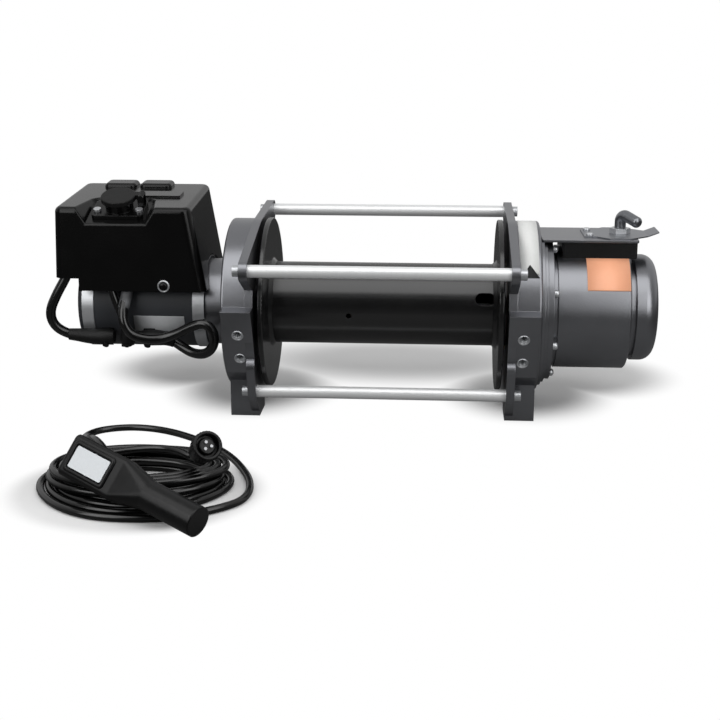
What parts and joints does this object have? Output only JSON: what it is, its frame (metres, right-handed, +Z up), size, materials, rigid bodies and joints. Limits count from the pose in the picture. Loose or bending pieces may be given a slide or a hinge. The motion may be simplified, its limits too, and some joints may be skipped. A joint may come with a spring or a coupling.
{
  "type": "electric winch",
  "caption": "Electric drum winch with tie-rod frame, round gear end with lift-and-turn clutch, motor end under a control pack, and a corded rocker handset on a coil.",
  "frame": {"origin": "centre of the four foot bolts, on the plane that the feet stand on", "axes": "+X along the drum axis towards the gear end, +Y to the rear, +Z up"},
  "size_m": [0.7458, 0.5685, 0.2797],
  "materials": {
    "grey_paint": "semi-gloss",
    "black_paint": "semi-gloss",
    "motor_paint": "satin",
    "chrome": "polished",
    "zinc_steel": "bright zinc",
    "spring_steel": "satin",
    "gear_steel": "machined",
    "bronze": "machined",
    "copper": "turned",
    "brake_lining": "matte",
    "black_plastic": "fine grain",
    "black_rubber": "matte",
    "pale_plastic": "matte"
  },
  "bodies": {
    "frame": {"motor_end_support": "grey_paint", "gear_end_support": "grey_paint", "gear_mounting_ring": "grey_paint", "gear_housing": "grey_paint", "motor_drive_bracket": "grey_paint", "clutch_cover": "grey_paint", "gear_end_cap": "grey_paint", "clutch_housing": "black_paint", "pack_base": "black_paint", "motor_case": "motor_paint", "motor_end_bell": "motor_paint", "tie_rods": "chrome", "tie_rod_screws": "zinc_steel", "gear_housing_screws": "zinc_steel", "clutch_screws": "zinc_steel", "pack_screws": "zinc_steel", "motor_bands": "zinc_steel", "clutch_collar": "zinc_steel", "leaf_spring": "spring_steel", "ring_gear": "gear_steel", "field_poles": "gear_steel", "motor_bearings": "gear_steel", "drum_bushes": "bronze", "brush_holders": "bronze", "plug_pins": "bronze", "motor_terminals": "black_plastic", "pack_cover": "black_plastic", "contactors": "black_plastic", "socket_body": "black_plastic", "plug_body": "black_plastic", "handset_shell": "black_plastic", "handset_gland": "black_rubber", "motor_leads": "black_rubber", "remote_cord": "black_rubber", "remote_coil": "black_rubber"},
    "drum": {"drum_barrel": "black_paint", "drum_flange_motor_end": "black_paint", "drum_flange_gear_end": "black_paint", "brake_liner": "brake_lining", "output_carrier": "gear_steel"},
    "rotor": {"armature": "gear_steel", "commutator": "copper", "drive_shaft": "gear_steel", "brake_hub": "gear_steel", "sun_gear_1": "gear_steel"},
    "carrier_1": {"carrier_1": "gear_steel"},
    "carrier_2": {"carrier_2": "gear_steel"},
    "clutch_pin": {"clutch_pin": "zinc_steel"},
    "clutch_handle": {"clutch_handle": "zinc_steel"},
    "socket_cap": {"socket_cap": "black_rubber"},
    "rocker": {"handset_rocker": "pale_plastic"},
    "planet_1a": {"planet_1a": "gear_steel"},
    "planet_1b": {"planet_1b": "gear_steel"},
    "planet_1c": {"planet_1c": "gear_steel"},
    "planet_2a": {"planet_2a": "gear_steel"},
    "planet_2b": {"planet_2b": "gear_steel"},
    "planet_2c": {"planet_2c": "gear_steel"},
    "planet_3a": {"planet_3a": "gear_steel"},
    "planet_3b": {"planet_3b": "gear_steel"},
    "planet_3c": {"planet_3c": "gear_steel"}
  },
  "joints": [
    {"name": "drum_spin", "type": "hinge", "parent": "frame", "child": "drum", "pos_m": [0, 0, 0.132], "axis": [1, 0, 0], "continuous": true},
    {"name": "rotor_spin", "type": "hinge", "parent": "frame", "child": "rotor", "pos_m": [0, 0, 0.132], "axis": [1, 0, 0], "continuous": true},
    {"name": "carrier_1_spin", "type": "hinge", "parent": "frame", "child": "carrier_1", "pos_m": [0, 0, 0.132], "axis": [1, 0, 0], "continuous": true},
    {"name": "carrier_2_spin", "type": "hinge", "parent": "frame", "child": "carrier_2", "pos_m": [0, 0, 0.132], "axis": [1, 0, 0], "continuous": true},
    {"name": "planet_1a_spin", "type": "hinge", "parent": "carrier_1", "child": "planet_1a", "pos_m": [0, 0.036, 0.132], "axis": [1, 0, 0], "continuous": true},
    {"name": "planet_1b_spin", "type": "hinge", "parent": "carrier_1", "child": "planet_1b", "pos_m": [0, -0.018, 0.16318], "axis": [1, 0, 0], "continuous": true},
    {"name": "planet_1c_spin", "type": "hinge", "parent": "carrier_1", "child": "planet_1c", "pos_m": [0, -0.018, 0.10082], "axis": [1, 0, 0], "continuous": true},
    {"name": "planet_2a_spin", "type": "hinge", "parent": "carrier_2", "child": "planet_2a", "pos_m": [0, 0.036, 0.132], "axis": [1, 0, 0], "continuous": true},
    {"name": "planet_2b_spin", "type": "hinge", "parent": "carrier_2", "child": "planet_2b", "pos_m": [0, -0.018, 0.16318], "axis": [1, 0, 0], "continuous": true},
    {"name": "planet_2c_spin", "type": "hinge", "parent": "carrier_2", "child": "planet_2c", "pos_m": [0, -0.018, 0.10082], "axis": [1, 0, 0], "continuous": true},
    {"name": "planet_3a_spin", "type": "hinge", "parent": "drum", "child": "planet_3a", "pos_m": [0, 0.036, 0.132], "axis": [1, 0, 0], "continuous": true},
    {"name": "planet_3b_spin", "type": "hinge", "parent": "drum", "child": "planet_3b", "pos_m": [0, -0.018, 0.16318], "axis": [1, 0, 0], "continuous": true},
    {"name": "planet_3c_spin", "type": "hinge", "parent": "drum", "child": "planet_3c", "pos_m": [0, -0.018, 0.10082], "axis": [1, 0, 0], "continuous": true},
    {"name": "clutch_lift", "type": "slide", "parent": "frame", "child": "clutch_pin", "axis": [0, 0, 1], "range_m": [0, 0.009]},
    {"name": "clutch_turn", "type": "hinge", "parent": "clutch_pin", "child": "clutch_handle", "pos_m": [0.2885, 0, 0.25], "axis": [0, 0, 1], "range_deg": [0, 90]},
    {"name": "cap_hinge", "type": "hinge", "parent": "frame", "child": "socket_cap", "pos_m": [-0.2925, -0.0469, 0.27185], "axis": [0, 0.9397, 0.342], "range_deg": [0, 110]},
    {"name": "rocker_tilt", "type": "hinge", "parent": "frame", "child": "rocker", "pos_m": [-0.27419, -0.37868, 0.04849], "axis": [-0.4307, -0.4142, -0.8019], "range_deg": [-5, 5], "stiffness_Nm_per_rad": 0.4}
  ],
  "couplings": [
    {"joint": "rotor_spin", "follows": "drum_spin", "ratio": 216},
    {"joint": "carrier_1_spin", "follows": "drum_spin", "ratio": 36},
    {"joint": "carrier_2_spin", "follows": "drum_spin", "ratio": 6},
    {"joint": "planet_1a_spin", "follows": "drum_spin", "ratio": -90},
    {"joint": "planet_1b_spin", "follows": "drum_spin", "ratio": -90},
    {"joint": "planet_1c_spin", "follows": "drum_spin", "ratio": -90},
    {"joint": "planet_2a_spin", "follows": "drum_spin", "ratio": -15},
    {"joint": "planet_2b_spin", "follows": "drum_spin", "ratio": -15},
    {"joint": "planet_2c_spin", "follows": "drum_spin", "ratio": -15},
    {"joint": "planet_3a_spin", "follows": "drum_spin", "ratio": -2.5},
    {"joint": "planet_3b_spin", "follows": "drum_spin", "ratio": -2.5},
    {"joint": "planet_3c_spin", "follows": "drum_spin", "ratio": -2.5}
  ]
}
